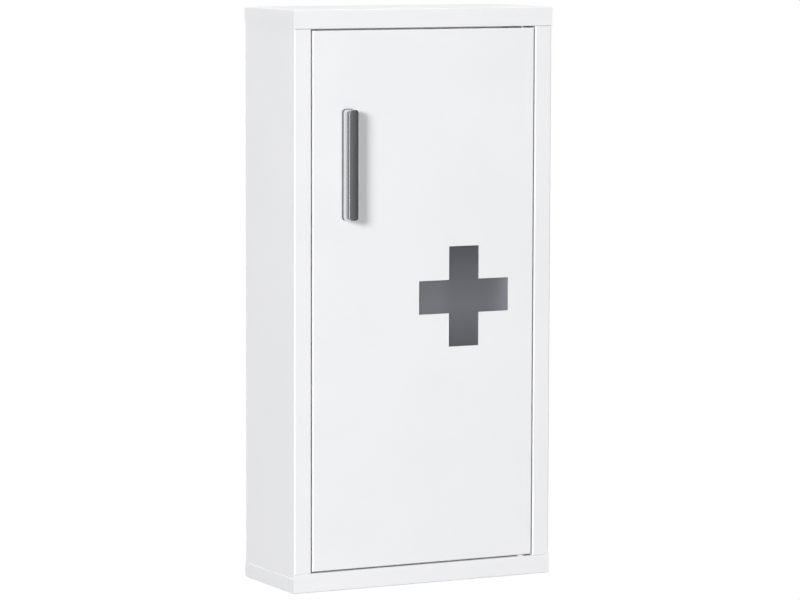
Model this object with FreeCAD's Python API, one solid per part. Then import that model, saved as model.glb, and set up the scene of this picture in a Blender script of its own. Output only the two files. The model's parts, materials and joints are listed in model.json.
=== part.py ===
import FreeCAD, Part
import math
import os

# A wall medicine cabinet of folded sheet steel, with one flush door and a cross-shaped window.
# Sizes are in millimetres. X runs to the right as one faces the door, Y runs into the wall
# and Z runs up. The origin is the centre of the back face, amid the four wall holes.

# Overall size
WIDTH = 300.0
HEIGHT = 600.0
DEPTH = 120.0

# Folded sheet of the casing
CASING_SHEET = 0.8
BACK_SHEET = 0.8
INNER_BEND = 0.5
SEAM = 0.1

# Lips of the top and bottom panels
FRONT_LIP = 20.0
SIDE_LIP = 15.0
REAR_LIP = 12.0
STOP_LIP = 9.0
STOP_LIP_RIGHT_END = 100.0

# Front stiles and rear flanges of the side panels
STILE_WIDTH = 20.0
JAMB_DEPTH = 14.0
SIDE_REAR_FLANGE = 12.0

# Holes for the wall screws
WALL_HOLE_RADIUS = 3.25
WALL_HOLE_SPACING_X = 220.0
WALL_HOLE_SPACING_Z = 480.0
BACK_PANEL_INSET = 2.0

# Door
DOOR_GAP = 1.5
DOOR_DEPTH = 16.0
DOOR_SHEET = 0.8
DOOR_HEM = 14.0
DOOR_CLOSED_GAP = 0.3

# Cross-shaped window
CROSS_CENTRE_X = 46.5
CROSS_CENTRE_Z = 0.0
CROSS_ARM_WIDTH = 35.0
CROSS_SPAN = 105.0
PANE_THICKNESS = 3.0
PANE_MARGIN = 10.0
PANE_CORNER_RADIUS = 3.0
TAPE_THICKNESS = 0.5
TAPE_SETBACK = 3.0
TAPE_BORDER = 2.0

# Pull handle
HANDLE_FROM_DOOR_EDGE = 40.2
HANDLE_FROM_DOOR_TOP = 137.5
HANDLE_LENGTH = 114.4
HANDLE_FACE_WIDTH = 10.0
HANDLE_FACE_CROWN = 0.25
HANDLE_FLANK_RADIUS = 7.8
HANDLE_FOOT_TURN = -30.0
HANDLE_RIDGE_TURN = 50.0
HANDLE_FOOT_HEIGHT = 3.8
HANDLE_END_RADIUS = 3.4
HANDLE_SCREW_FROM_END = 9.2
HANDLE_SCREW_RADIUS = 2.0
HANDLE_SCREW_GRIP = 8.0
HANDLE_SCREW_HEAD_RADIUS = 4.0
HANDLE_SCREW_HEAD_HEIGHT = 2.4
BACKING_THICKNESS = 1.0
BACKING_WIDTH = 20.0
BACKING_END_MARGIN = 1.0
SCREW_CLEARANCE = 0.2

# Pivot hinge at the door's right edge
HINGE_INSET = 11.0
HINGE_SETBACK = 5.8
PIN_RADIUS = 2.0
PIN_CLEARANCE = 0.05
PIN_REACH = 5.0
PIN_TIP_CHAMFER = 0.5
PIN_HEAD_RADIUS = 3.5
PIN_HEAD_HEIGHT = 1.2
BUSH_WALL = 1.0
BUSH_LENGTH = 6.0
BUSH_FLANGE_RADIUS = 3.9
BUSH_FLANGE_THICKNESS = 1.0
THRUST_GAP = 0.3
BRACKET_SHEET = 1.5
BRACKET_HEIGHT = 24.0
BRACKET_WIDTH = 21.7
BRACKET_DEPTH = 11.5
CLIP_THICKNESS = 0.6
CLIP_RADIUS = 3.5
CLIP_MOUTH = 2.2
GROOVE_DEPTH = 0.5

# Shelves and the angles that carry them
COMPARTMENTS = 3
SHELF_SHEET = 0.8
SHELF_FRONT_SETBACK = 24.0
SHELF_FRONT_FLANGE = 12.0
SHELF_HEM = 8.0
SHELF_REAR_FLANGE = 8.0
SHELF_SIDE_GAP = 1.2
SHELF_REAR_GAP = 1.0
ANGLE_SHEET = 1.0
ANGLE_LEG = 14.0
ANGLE_LENGTH = 74.0

# Magnetic catch at the door's free edge
CATCH_CENTRE_Z = 50.0
CATCH_WIDTH = 14.0
CATCH_HEIGHT = 26.0
CATCH_DEPTH = 15.5
CATCH_EAR_LENGTH = 7.5
CATCH_EAR_THICKNESS = 3.0
CATCH_CORNER_RADIUS = 1.0
CATCH_SCREW_RADIUS = 1.5
CATCH_SCREW_HEAD_RADIUS = 2.8
CATCH_SCREW_HEAD_HEIGHT = 1.8
CATCH_SCREW_TAIL = 4.0
CATCH_BRACKET_SHEET = 1.2
CATCH_BRACKET_SIDE_LEG = 24.0
CATCH_BRACKET_MARGIN = 2.0
MAGNET_WIDTH = 7.0
MAGNET_HEIGHT = 22.0
MAGNET_DEPTH = 8.0
POLE_THICKNESS = 1.2
POLE_PROJECTION = 1.2
POCKET_CLEARANCE = 0.1
SNUG_FIT = 0.05

# Rubber bumpers on the stop lips
BUMPER_RADIUS = 3.0
BUMPER_THICKNESS = 1.7
BUMPER_EDGE_INSET = 13.0

# Places worked out from the sizes above
HALF_WIDTH = WIDTH / 2
HALF_HEIGHT = HEIGHT / 2
FRONT = -DEPTH
OUTER_BEND = INNER_BEND + CASING_SHEET
SIDE_OUTER = HALF_WIDTH - CASING_SHEET
SIDE_INNER = SIDE_OUTER - CASING_SHEET
CASING_REAR = -BACK_SHEET
OPENING_X = HALF_WIDTH - STILE_WIDTH
OPENING_Z = HALF_HEIGHT - FRONT_LIP
DOOR_X = OPENING_X - DOOR_GAP
DOOR_Z = OPENING_Z - DOOR_GAP
DOOR_REAR = FRONT + DOOR_DEPTH
DOOR_LINING = FRONT + DOOR_SHEET
STOP_FACE = DOOR_REAR + DOOR_CLOSED_GAP + BUMPER_THICKNESS
HANDLE_CENTRE_X = -DOOR_X + HANDLE_FROM_DOOR_EDGE
HANDLE_CENTRE_Z = DOOR_Z - HANDLE_FROM_DOOR_TOP
HINGE_X = DOOR_X - HINGE_INSET
HINGE_Y = FRONT + HINGE_SETBACK
BUSH_RADIUS = PIN_RADIUS + PIN_CLEARANCE + BUSH_WALL
BRACKET_TOP = DOOR_Z - DOOR_SHEET
BRACKET_LEG_Z = BRACKET_TOP - BRACKET_HEIGHT
CATCH_X = -DOOR_X + DOOR_HEM / 2
CATCH_FRONT = DOOR_REAR + DOOR_CLOSED_GAP + POLE_PROJECTION
CATCH_REAR = CATCH_FRONT + CATCH_DEPTH
PANE_FRONT = DOOR_LINING + TAPE_THICKNESS
SHELF_FRONT = FRONT + SHELF_FRONT_SETBACK
SHELF_REAR = CASING_REAR - CASING_SHEET - SHELF_REAR_GAP
HANDLE_SEAT = DOOR_LINING + BACKING_THICKNESS

# How far a cutting tool stands clear of what it cuts, and how near counts as the same place
CUT_MARGIN = 2.0
TOLERANCE = 1e-6


def spot(plane, u, v, level):
    """Point of a plane named by its two axes, at a level along the third axis."""
    if plane == "XY":
        return FreeCAD.Vector(u, v, level)
    if plane == "YZ":
        return FreeCAD.Vector(level, u, v)
    return FreeCAD.Vector(u, level, v)


def block(low, high):
    """Box between two corners."""
    size = [high[axis] - low[axis] for axis in range(3)]
    return Part.makeBox(size[0], size[1], size[2], FreeCAD.Vector(*low))


def unit(start, end):
    """Unit direction from one outline point to another."""
    length = math.hypot(end[0] - start[0], end[1] - start[1])
    return ((end[0] - start[0]) / length, (end[1] - start[1]) / length)


def rounded_prism(plane, loop, radii, low, high):
    """Solid between two levels whose outline is a closed loop with rounded corners."""
    edges = []
    corners = []
    for index, point in enumerate(loop):
        radius = radii[index]
        arrive = unit(loop[index - 1], point)
        leave = unit(point, loop[(index + 1) % len(loop)])
        turn = math.acos(max(-1.0, min(1.0, arrive[0] * leave[0] + arrive[1] * leave[1])))
        reach = radius * math.tan(turn / 2)
        start = (point[0] - arrive[0] * reach, point[1] - arrive[1] * reach)
        end = (point[0] + leave[0] * reach, point[1] + leave[1] * reach)
        middle = None
        if radius > 0:
            inward = unit((0.0, 0.0), (leave[0] - arrive[0], leave[1] - arrive[1]))
            depth = radius / math.cos(turn / 2) - radius
            middle = (point[0] + inward[0] * depth, point[1] + inward[1] * depth)
        corners.append((start, middle, end))
    for index, (start, middle, end) in enumerate(corners):
        if middle is not None:
            places = [spot(plane, *corner, low) for corner in (start, middle, end)]
            edges.append(Part.Arc(*places).toShape())
        following = corners[(index + 1) % len(corners)][0]
        if math.dist(end, following) > TOLERANCE:
            ends = (spot(plane, *end, low), spot(plane, *following, low))
            edges.append(Part.LineSegment(*ends).toShape())
    face = Part.Face(Part.Wire(edges))
    return face.extrude(spot(plane, 0, 0, high - low))


def folded_strip(plane, line, sheet, bend, low, high):
    """Folded sheet: line is its one face, and its thickness lies to the left of that line."""
    inner_line = []
    line_radii = []
    inner_radii = []
    for index, point in enumerate(line):
        first = index == 0
        last = index == len(line) - 1
        leave = unit(point, line[index + 1]) if not last else unit(line[index - 1], point)
        arrive = unit(line[index - 1], point) if not first else leave
        left_arrive = (-arrive[1], arrive[0])
        left_leave = (-leave[1], leave[0])
        share = sheet / (1 + left_arrive[0] * left_leave[0] + left_arrive[1] * left_leave[1])
        shift = (left_arrive[0] + left_leave[0], left_arrive[1] + left_leave[1])
        inner_line.append((point[0] + shift[0] * share, point[1] + shift[1] * share))
        turn = arrive[0] * leave[1] - arrive[1] * leave[0]
        is_bend = not first and not last
        line_radii.append((bend + sheet if turn > 0 else bend) if is_bend else 0.0)
        inner_radii.append((bend if turn > 0 else bend + sheet) if is_bend else 0.0)
    loop = line + inner_line[::-1]
    radii = line_radii + inner_radii[::-1]
    return rounded_prism(plane, loop, radii, low, high)


def rectangle(centre, width, height):
    """Corners of an upright rectangle about its centre."""
    half_width = width / 2
    half_height = height / 2
    signs = ((-1, -1), (1, -1), (1, 1), (-1, 1))
    return [(centre[0] + a * half_width, centre[1] + b * half_height) for a, b in signs]


def cross_loop(centre, span, arm):
    """Twelve corners of an upright cross."""
    far = span / 2
    near = arm / 2
    quarter = [(far, -near), (far, near), (near, near)]
    loop = []
    for turn in range(4):
        for u, v in quarter:
            for _ in range(turn):
                u, v = -v, u
            loop.append((centre[0] + u, centre[1] + v))
    return loop


def upright_rod(x, y, radius, low, high):
    """Cylinder along Z."""
    return Part.makeCylinder(radius, high - low, FreeCAD.Vector(x, y, low))


def crosswise_rod(x, z, radius, front, rear):
    """Cylinder along Y."""
    start = FreeCAD.Vector(x, front, z)
    return Part.makeCylinder(radius, rear - front, start, FreeCAD.Vector(0, 1, 0))


def edges_at(shape, test):
    """Edges of a shape whose two ends both pass a test."""
    return [edge for edge in shape.Edges if all(test(vertex.Point) for vertex in edge.Vertexes)]


def folded_edges(box):
    """Edges of a box round its front and rear faces, where a pan is folded."""
    front = box.BoundBox.YMin
    rear = box.BoundBox.YMax
    front_edges = edges_at(box, lambda p: p.y < front + TOLERANCE)
    return front_edges + edges_at(box, lambda p: p.y > rear - TOLERANCE)


def lower_copy(shape):
    """The same piece upside down, for the bottom of the cabinet."""
    return shape.mirror(FreeCAD.Vector(0, 0, 0), FreeCAD.Vector(0, 0, 1))


def right_copy(shape):
    """The same piece for the other side of the cabinet."""
    return shape.mirror(FreeCAD.Vector(0, 0, 0), FreeCAD.Vector(1, 0, 0))


def save(node, *shapes):
    """Write every solid of the shapes as one named file."""
    solids = [solid for shape in shapes for solid in shape.Solids]
    result = solids[0] if len(solids) == 1 else Part.makeCompound(solids)
    result.exportStep(f"parts/{node}.step")


def casing_tray():
    """Plate of the top panel with its lips, folded down like the lid of a tin."""
    reach = OPENING_Z
    outer = block((-HALF_WIDTH, FRONT, reach), (HALF_WIDTH, CASING_REAR, HALF_HEIGHT))
    outer = outer.makeFillet(OUTER_BEND, edges_at(outer, lambda p: p.z > HALF_HEIGHT - TOLERANCE))
    ceiling = HALF_HEIGHT - CASING_SHEET
    inner = block(
        (-SIDE_OUTER, FRONT + CASING_SHEET, reach - CUT_MARGIN),
        (SIDE_OUTER, CASING_REAR - CASING_SHEET, ceiling),
    )
    inner = inner.makeFillet(INNER_BEND, edges_at(inner, lambda p: p.z > ceiling - TOLERANCE))
    return outer.cut(inner)


def tray_trims():
    """What is cut off the tray: shorter side and rear lips, and the open corner seams."""
    low = OPENING_Z - CUT_MARGIN
    front = FRONT + CASING_SHEET
    rear = CASING_REAR - CASING_SHEET
    corner_top = HALF_HEIGHT - OUTER_BEND
    far = HALF_WIDTH + CUT_MARGIN
    trims = [block((-far, rear, low), (far, CUT_MARGIN, HALF_HEIGHT - REAR_LIP))]
    for near, end in ((-far, -SIDE_OUTER), (SIDE_OUTER, far)):
        trims.append(block((near, front, low), (end, CUT_MARGIN, HALF_HEIGHT - SIDE_LIP)))
        trims.append(block((near, front, low), (end, front + SEAM, corner_top)))
        trims.append(block((near, rear - SEAM, low), (end, rear, corner_top)))
    return trims


def stop_fold():
    """Return of the front lip, which ends in the lip that the closed door meets."""
    start = OPENING_Z + OUTER_BEND + CUT_MARGIN
    line = [
        (FRONT, start),
        (FRONT, OPENING_Z),
        (STOP_FACE, OPENING_Z),
        (STOP_FACE, OPENING_Z - STOP_LIP),
    ]
    reach = SIDE_INNER - SEAM
    fold = folded_strip("YZ", line, CASING_SHEET, INNER_BEND, -reach, reach)
    clear_low = STOP_FACE - INNER_BEND
    ends = ((-reach - CUT_MARGIN, -DOOR_X), (STOP_LIP_RIGHT_END, reach + CUT_MARGIN))
    for near, far in ends:
        fold = fold.cut(
            block(
                (near, clear_low, OPENING_Z - STOP_LIP - CUT_MARGIN),
                (far, STOP_FACE + OUTER_BEND, start),
            )
        )
    return fold


def top_panel():
    """Top panel: tray, return of its front lip, and the hole for the hinge bush."""
    panel = casing_tray().cut(tray_trims())
    reach = SIDE_INNER - SEAM
    fold_top = OPENING_Z + OUTER_BEND + CUT_MARGIN
    panel = panel.cut(
        block(
            (-reach, FRONT - CUT_MARGIN, OPENING_Z - CUT_MARGIN),
            (reach, FRONT + CASING_SHEET + CUT_MARGIN, fold_top),
        )
    )
    panel = panel.fuse(stop_fold()).removeSplitter()
    hole = BUSH_RADIUS + SNUG_FIT
    return panel.cut(upright_rod(HINGE_X, HINGE_Y, hole, OPENING_Z - CUT_MARGIN, fold_top))


def side_panel():
    """Right side panel: front stile with its jamb, the side, and the rear flange."""
    line = [
        (OPENING_X, FRONT + JAMB_DEPTH),
        (OPENING_X, FRONT),
        (SIDE_OUTER, FRONT),
        (SIDE_OUTER, CASING_REAR),
        (SIDE_OUTER - SIDE_REAR_FLANGE, CASING_REAR),
    ]
    top = HALF_HEIGHT - OUTER_BEND
    panel = folded_strip("XY", line, CASING_SHEET, INNER_BEND, -top, top)
    stile_top = OPENING_Z - SEAM
    flange_top = HALF_HEIGHT - REAR_LIP - SEAM
    lip_rear = FRONT + CASING_SHEET + SEAM
    behind_jamb = FRONT + JAMB_DEPTH + CUT_MARGIN
    lip_front = CASING_REAR - CASING_SHEET - SEAM
    far = SIDE_OUTER + CUT_MARGIN
    near = OPENING_X - CUT_MARGIN
    high = HALF_HEIGHT
    notches = [
        block((near, FRONT - CUT_MARGIN, stile_top), (SIDE_INNER, behind_jamb, high)),
        block((near, FRONT - CUT_MARGIN, stile_top), (far, lip_rear, high)),
        block((near, lip_front - INNER_BEND, flange_top), (SIDE_INNER, CUT_MARGIN, high)),
        block((near, lip_front, flange_top), (far, CUT_MARGIN, high)),
    ]
    for notch in notches:
        panel = panel.cut([notch, lower_copy(notch)])
    return panel


def back_panel():
    """Flat back panel with the four holes for wall screws."""
    sheet = block(
        (-HALF_WIDTH + BACK_PANEL_INSET, -BACK_SHEET, -HALF_HEIGHT + BACK_PANEL_INSET),
        (HALF_WIDTH - BACK_PANEL_INSET, 0.0, HALF_HEIGHT - BACK_PANEL_INSET),
    )
    corners = rectangle((0.0, 0.0), WALL_HOLE_SPACING_X, WALL_HOLE_SPACING_Z)
    front = -BACK_SHEET - CUT_MARGIN
    return sheet.cut([crosswise_rod(x, z, WALL_HOLE_RADIUS, front, CUT_MARGIN) for x, z in corners])


def shelf_tops():
    """Heights of the shelves' upper faces, which share the height evenly."""
    pitch = HEIGHT / COMPARTMENTS
    return [-HALF_HEIGHT + pitch * (number + 1) for number in range(COMPARTMENTS - 1)]


def shelf(top):
    """Shelf with a hemmed front flange and an upstand at the back."""
    line = [
        (SHELF_REAR, top + SHELF_REAR_FLANGE),
        (SHELF_REAR, top),
        (SHELF_FRONT, top),
        (SHELF_FRONT, top - SHELF_FRONT_FLANGE),
        (SHELF_FRONT + SHELF_HEM, top - SHELF_FRONT_FLANGE),
    ]
    reach = SIDE_INNER - SHELF_SIDE_GAP
    return folded_strip("YZ", line, SHELF_SHEET, INNER_BEND, -reach, reach)


def shelf_angles(top):
    """Pair of angles, welded inside the side panels, on which a shelf lies."""
    seat = top - SHELF_SHEET
    line = [
        (SIDE_INNER, seat - ANGLE_LEG),
        (SIDE_INNER, seat),
        (SIDE_INNER - ANGLE_LEG, seat),
    ]
    front = SHELF_FRONT + SHELF_HEM + ANGLE_SHEET
    angle = folded_strip("XZ", line, ANGLE_SHEET, INNER_BEND, front, front + ANGLE_LENGTH)
    return [angle, right_copy(angle)]


def door_pan():
    """Door folded all round into a shallow box whose back is open inside its hems."""
    bend = INNER_BEND + DOOR_SHEET
    outer = block((-DOOR_X, FRONT, -DOOR_Z), (DOOR_X, DOOR_REAR, DOOR_Z))
    outer = outer.makeFillet(bend, folded_edges(outer))
    inner_x = DOOR_X - DOOR_SHEET
    inner_z = DOOR_Z - DOOR_SHEET
    inner = block((-inner_x, DOOR_LINING, -inner_z), (inner_x, DOOR_REAR - DOOR_SHEET, inner_z))
    inner = inner.makeFillet(INNER_BEND, folded_edges(inner))
    open_x = DOOR_X - DOOR_HEM
    open_z = DOOR_Z - DOOR_HEM
    front = DOOR_REAR - DOOR_SHEET - CUT_MARGIN
    rear = DOOR_REAR + CUT_MARGIN
    return outer.cut([inner, block((-open_x, front, -open_z), (open_x, rear, open_z))])


def mitre_seams():
    """Hairline seams where the hems meet at the door's rear corners."""
    front = DOOR_REAR - DOOR_SHEET - SNUG_FIT
    half_seam = SEAM / 2
    inside = DOOR_HEM + CUT_MARGIN
    outside = INNER_BEND + DOOR_SHEET
    line = [
        (DOOR_X - inside - half_seam, DOOR_Z - inside + half_seam),
        (DOOR_X - inside + half_seam, DOOR_Z - inside - half_seam),
        (DOOR_X - outside + half_seam, DOOR_Z - outside - half_seam),
        (DOOR_X - outside - half_seam, DOOR_Z - outside + half_seam),
    ]
    seam = rounded_prism("XZ", line, [0.0] * 4, front, DOOR_REAR + CUT_MARGIN)
    upper = [seam, right_copy(seam)]
    return upper + [lower_copy(piece) for piece in upper]


def handle_screw_places():
    """Centres of the two handle screws in the door's plane."""
    half = HANDLE_LENGTH / 2 - HANDLE_SCREW_FROM_END
    return [(HANDLE_CENTRE_X, HANDLE_CENTRE_Z + sign * half) for sign in (-1, 1)]


def door_panel():
    """Door pan with the cross cut out and the holes for screws, rivets and pins."""
    front = FRONT - CUT_MARGIN
    centre = (CROSS_CENTRE_X, CROSS_CENTRE_Z)
    loop = cross_loop(centre, CROSS_SPAN, CROSS_ARM_WIDTH)
    window = rounded_prism("XZ", loop, [0.0] * len(loop), front, DOOR_LINING + CUT_MARGIN)
    hole = HANDLE_SCREW_RADIUS + SCREW_CLEARANCE
    cuts = [window]
    for x, z in handle_screw_places():
        cuts.append(crosswise_rod(x, z, hole, front, DOOR_LINING + CUT_MARGIN))
    pin_hole = PIN_RADIUS + PIN_CLEARANCE
    cuts.append(upright_rod(HINGE_X, HINGE_Y, pin_hole, -HALF_HEIGHT, HALF_HEIGHT))
    return door_pan().cut(cuts + mitre_seams())


def window_pane():
    """Smoked pane behind the cross."""
    size = CROSS_SPAN + 2 * PANE_MARGIN
    loop = rectangle((CROSS_CENTRE_X, CROSS_CENTRE_Z), size, size)
    radii = [PANE_CORNER_RADIUS] * 4
    return rounded_prism("XZ", loop, radii, PANE_FRONT, PANE_FRONT + PANE_THICKNESS)


def pane_tape():
    """Adhesive tape that follows the cross and holds the pane to the door."""
    centre = (CROSS_CENTRE_X, CROSS_CENTRE_Z)
    size = CROSS_SPAN + 2 * (PANE_MARGIN - TAPE_BORDER)
    grow = 2 * TAPE_SETBACK
    square = rounded_prism("XZ", rectangle(centre, size, size), [0.0] * 4, DOOR_LINING, PANE_FRONT)
    loop = cross_loop(centre, CROSS_SPAN + grow, CROSS_ARM_WIDTH + grow)
    low = DOOR_LINING - CUT_MARGIN
    return square.cut(rounded_prism("XZ", loop, [0.0] * len(loop), low, PANE_FRONT + CUT_MARGIN))


def flank_point(turn):
    """Point of the handle's bulging flank, as half width and outward reach, for a turn."""
    across = HANDLE_FACE_WIDTH / 2 - HANDLE_FLANK_RADIUS * math.cos(math.radians(HANDLE_RIDGE_TURN))
    outward = HANDLE_FOOT_HEIGHT - HANDLE_FLANK_RADIUS * math.sin(math.radians(HANDLE_FOOT_TURN))
    across += HANDLE_FLANK_RADIUS * math.cos(math.radians(turn))
    outward += HANDLE_FLANK_RADIUS * math.sin(math.radians(turn))
    return across, outward


def door_handle():
    """Pull handle: narrow foot, bulging flanks, crowned face, and two blind screw holes."""
    low = HANDLE_CENTRE_Z - HANDLE_LENGTH / 2
    foot = flank_point(HANDLE_FOOT_TURN)
    middle = flank_point((HANDLE_FOOT_TURN + HANDLE_RIDGE_TURN) / 2)
    ridge = flank_point(HANDLE_RIDGE_TURN)
    heel = (foot[0], 0.0)
    crest = (0.0, ridge[1] + HANDLE_FACE_CROWN)

    def place(point, side):
        return FreeCAD.Vector(HANDLE_CENTRE_X + side * point[0], FRONT - point[1], low)

    edges = [
        Part.LineSegment(place(heel, -1), place(heel, 1)).toShape(),
        Part.LineSegment(place(heel, 1), place(foot, 1)).toShape(),
        Part.Arc(place(foot, 1), place(middle, 1), place(ridge, 1)).toShape(),
        Part.Arc(place(ridge, 1), place(crest, 1), place(ridge, -1)).toShape(),
        Part.Arc(place(ridge, -1), place(middle, -1), place(foot, -1)).toShape(),
        Part.LineSegment(place(foot, -1), place(heel, -1)).toShape(),
    ]
    bar = Part.Face(Part.Wire(edges)).extrude(FreeCAD.Vector(0, 0, HANDLE_LENGTH))
    widest = 2 * flank_point(0.0)[0]
    loop = rectangle((HANDLE_CENTRE_X, HANDLE_CENTRE_Z), widest, HANDLE_LENGTH)
    clear = FRONT - crest[1] - CUT_MARGIN
    handle = bar.common(rounded_prism("XZ", loop, [HANDLE_END_RADIUS] * 4, clear, FRONT))
    hole = HANDLE_SCREW_RADIUS + SNUG_FIT
    depth = FRONT - HANDLE_SCREW_GRIP - CUT_MARGIN
    drills = [crosswise_rod(x, z, hole, depth, FRONT + CUT_MARGIN) for x, z in handle_screw_places()]
    return handle.cut(drills)


def handle_screw(x, z):
    """Pan-head screw put through the door from inside."""
    shank = crosswise_rod(x, z, HANDLE_SCREW_RADIUS, FRONT - HANDLE_SCREW_GRIP, HANDLE_SEAT)
    top = HANDLE_SEAT + HANDLE_SCREW_HEAD_HEIGHT
    head = crosswise_rod(x, z, HANDLE_SCREW_HEAD_RADIUS, HANDLE_SEAT, top)
    return shank.fuse(head).removeSplitter()


def handle_backing_plate():
    """Stiffening plate between the door sheet and the handle screws."""
    length = HANDLE_LENGTH + 2 * BACKING_END_MARGIN
    loop = rectangle((HANDLE_CENTRE_X, HANDLE_CENTRE_Z), BACKING_WIDTH, length)
    plate = rounded_prism("XZ", loop, [0.0] * 4, DOOR_LINING, HANDLE_SEAT)
    hole = HANDLE_SCREW_RADIUS + SCREW_CLEARANCE
    low = DOOR_LINING - CUT_MARGIN
    high = HANDLE_SEAT + CUT_MARGIN
    return plate.cut([crosswise_rod(x, z, hole, low, high) for x, z in handle_screw_places()])


def hinge_bracket():
    """Folded bracket, welded in the door's upper right corner, that guides the hinge pin."""
    right = DOOR_X - DOOR_SHEET
    left = right - BRACKET_WIDTH
    line = [
        (left, BRACKET_LEG_Z),
        (right, BRACKET_LEG_Z),
        (right, BRACKET_TOP),
        (left, BRACKET_TOP),
    ]
    front = DOOR_LINING + INNER_BEND + SCREW_CLEARANCE
    bracket = folded_strip("XZ", line, BRACKET_SHEET, INNER_BEND, front, front + BRACKET_DEPTH)
    hole = PIN_RADIUS + PIN_CLEARANCE
    return bracket.cut(upright_rod(HINGE_X, HINGE_Y, hole, BRACKET_LEG_Z - CUT_MARGIN, DOOR_Z))


def groove_low():
    """Height of the pin's groove, just above the bracket's lower leg."""
    return BRACKET_LEG_Z + BRACKET_SHEET + PIN_CLEARANCE


def hinge_pin():
    """Upper hinge pin: head below the bracket's leg, groove for its clip, tip in the bush."""
    tip = OPENING_Z + PIN_REACH
    shank = upright_rod(HINGE_X, HINGE_Y, PIN_RADIUS, BRACKET_LEG_Z, tip)
    shank = shank.makeChamfer(PIN_TIP_CHAMFER, edges_at(shank, lambda p: p.z > tip - TOLERANCE))
    low = BRACKET_LEG_Z - PIN_HEAD_HEIGHT
    head = upright_rod(HINGE_X, HINGE_Y, PIN_HEAD_RADIUS, low, BRACKET_LEG_Z)
    high = groove_low() + CLIP_THICKNESS + PIN_CLEARANCE
    ring = upright_rod(HINGE_X, HINGE_Y, PIN_RADIUS + CUT_MARGIN, groove_low(), high)
    core = upright_rod(HINGE_X, HINGE_Y, PIN_RADIUS - GROOVE_DEPTH, groove_low(), high)
    return shank.fuse(head).removeSplitter().cut(ring.cut(core))


def pin_clip():
    """Spring clip in the groove of the upper pin, open towards the back."""
    low = groove_low()
    high = low + CLIP_THICKNESS
    plate = upright_rod(HINGE_X, HINGE_Y, CLIP_RADIUS, low, high)
    hole = upright_rod(HINGE_X, HINGE_Y, PIN_RADIUS - GROOVE_DEPTH + PIN_CLEARANCE, low, high)
    half = CLIP_MOUTH / 2
    mouth = block((HINGE_X - half, HINGE_Y, low), (HINGE_X + half, HINGE_Y + CLIP_RADIUS, high))
    return plate.cut([hole, mouth])


def hinge_bush(flange_low, flange_high):
    """Nylon bush in the upper front lip, with a flange between two heights."""
    barrel = upright_rod(HINGE_X, HINGE_Y, BUSH_RADIUS, OPENING_Z, OPENING_Z + BUSH_LENGTH)
    flange = upright_rod(HINGE_X, HINGE_Y, BUSH_FLANGE_RADIUS, flange_low, flange_high)
    low = min(OPENING_Z, flange_low) - CUT_MARGIN
    bore_radius = PIN_RADIUS + PIN_CLEARANCE
    bore = upright_rod(HINGE_X, HINGE_Y, bore_radius, low, OPENING_Z + BUSH_LENGTH + CUT_MARGIN)
    return barrel.fuse(flange).removeSplitter().cut(bore)


def upper_hinge_bush():
    """Upper bush, whose flange lies on top of the lip's return."""
    seat = OPENING_Z + CASING_SHEET
    return hinge_bush(seat, seat + BUSH_FLANGE_THICKNESS)


def lower_hinge_bush():
    """Lower bush, whose flange carries the door's weight in the gap below the door."""
    return lower_copy(hinge_bush(DOOR_Z + THRUST_GAP, OPENING_Z))


def catch_bracket():
    """Angle, welded to the left side panel, that carries the magnetic catch."""
    line = [
        (-SIDE_INNER, CATCH_REAR + CATCH_BRACKET_SIDE_LEG),
        (-SIDE_INNER, CATCH_REAR),
        (CATCH_X + CATCH_WIDTH / 2, CATCH_REAR),
    ]
    sheet = CATCH_BRACKET_SHEET
    half = CATCH_HEIGHT / 2 + CATCH_EAR_LENGTH + CATCH_BRACKET_MARGIN
    low = CATCH_CENTRE_Z - half
    high = CATCH_CENTRE_Z + half
    bracket = folded_strip("XY", line, sheet, INNER_BEND, low, high)
    hole = CATCH_SCREW_RADIUS + SNUG_FIT
    front = CATCH_REAR - CUT_MARGIN
    rear = CATCH_REAR + sheet + CUT_MARGIN
    return bracket.cut([crosswise_rod(x, z, hole, front, rear) for x, z in catch_screw_places()])


def catch_screw_places():
    """Centres of the two catch screws, one in each ear."""
    half = CATCH_HEIGHT / 2 + CATCH_EAR_LENGTH / 2
    return [(CATCH_X, CATCH_CENTRE_Z + sign * half) for sign in (-1, 1)]


def catch_housing():
    """Moulded housing of the catch: a block with a pocket, and an ear at each end."""
    centre = (CATCH_X, CATCH_CENTRE_Z)
    body_loop = rectangle(centre, CATCH_WIDTH, CATCH_HEIGHT)
    body = rounded_prism("XZ", body_loop, [0.0] * 4, CATCH_FRONT, CATCH_REAR)
    ears_loop = rectangle(centre, CATCH_WIDTH, CATCH_HEIGHT + 2 * CATCH_EAR_LENGTH)
    ear_front = CATCH_REAR - CATCH_EAR_THICKNESS
    ears = rounded_prism("XZ", ears_loop, [CATCH_CORNER_RADIUS] * 4, ear_front, CATCH_REAR)
    pocket_width = MAGNET_WIDTH + 2 * POLE_THICKNESS + 4 * POCKET_CLEARANCE
    pocket_height = MAGNET_HEIGHT + 2 * POCKET_CLEARANCE
    pocket = rounded_prism(
        "XZ",
        rectangle(centre, pocket_width, pocket_height),
        [0.0] * 4,
        CATCH_FRONT - CUT_MARGIN,
        CATCH_FRONT + MAGNET_DEPTH + POCKET_CLEARANCE,
    )
    hole = CATCH_SCREW_RADIUS + SNUG_FIT
    holes = [
        crosswise_rod(x, z, hole, ear_front - CUT_MARGIN, CATCH_REAR + CUT_MARGIN)
        for x, z in catch_screw_places()
    ]
    return body.fuse(ears).removeSplitter().cut([pocket] + holes)


def catch_magnet():
    """Magnet block between the two pole plates."""
    loop = rectangle((CATCH_X, CATCH_CENTRE_Z), MAGNET_WIDTH, MAGNET_HEIGHT)
    return rounded_prism("XZ", loop, [0.0] * 4, CATCH_FRONT, CATCH_FRONT + MAGNET_DEPTH)


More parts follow.
